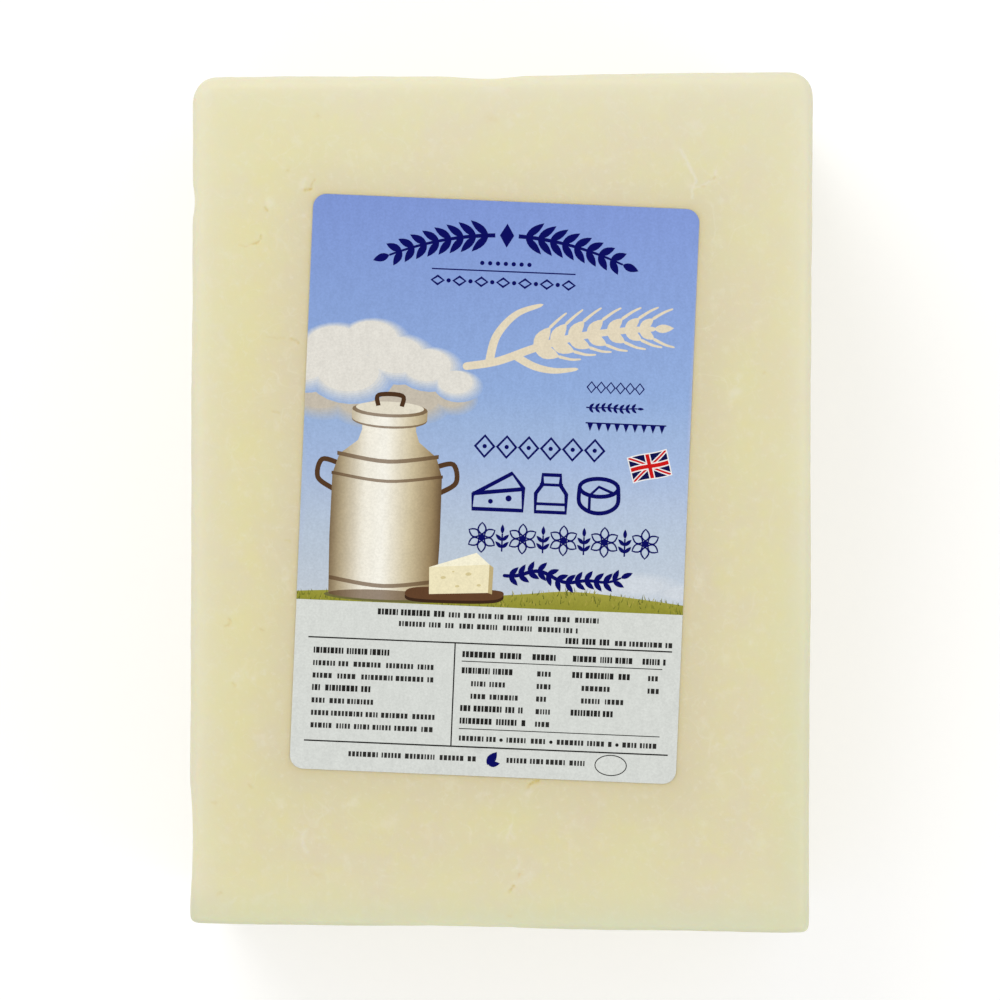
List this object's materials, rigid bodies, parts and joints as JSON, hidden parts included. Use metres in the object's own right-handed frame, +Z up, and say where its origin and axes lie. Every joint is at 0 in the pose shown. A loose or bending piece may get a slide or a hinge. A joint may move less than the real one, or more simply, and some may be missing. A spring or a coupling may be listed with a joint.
{
  "type": "block of goat cheddar",
  "caption": "Block of pale goat cheddar lying flat, soft rims on the pressed sides and a crisp wire-cut end, with a printed paper label on top.",
  "frame": {"origin": "middle of the footprint, on the resting face", "axes": "+Z up out of the labelled face, +Y along the block towards its soft back end, +X across to the right"},
  "size_m": [0.1384, 0.1919, 0.0882],
  "materials": {
    "cheese": "moist satin, pale cream, faintly mottled",
    "label_paper": "semi-gloss printed paper"
  },
  "bodies": {
    "root": {"cheese_block": "cheese", "label": "label_paper"}
  },
  "joints": []
}
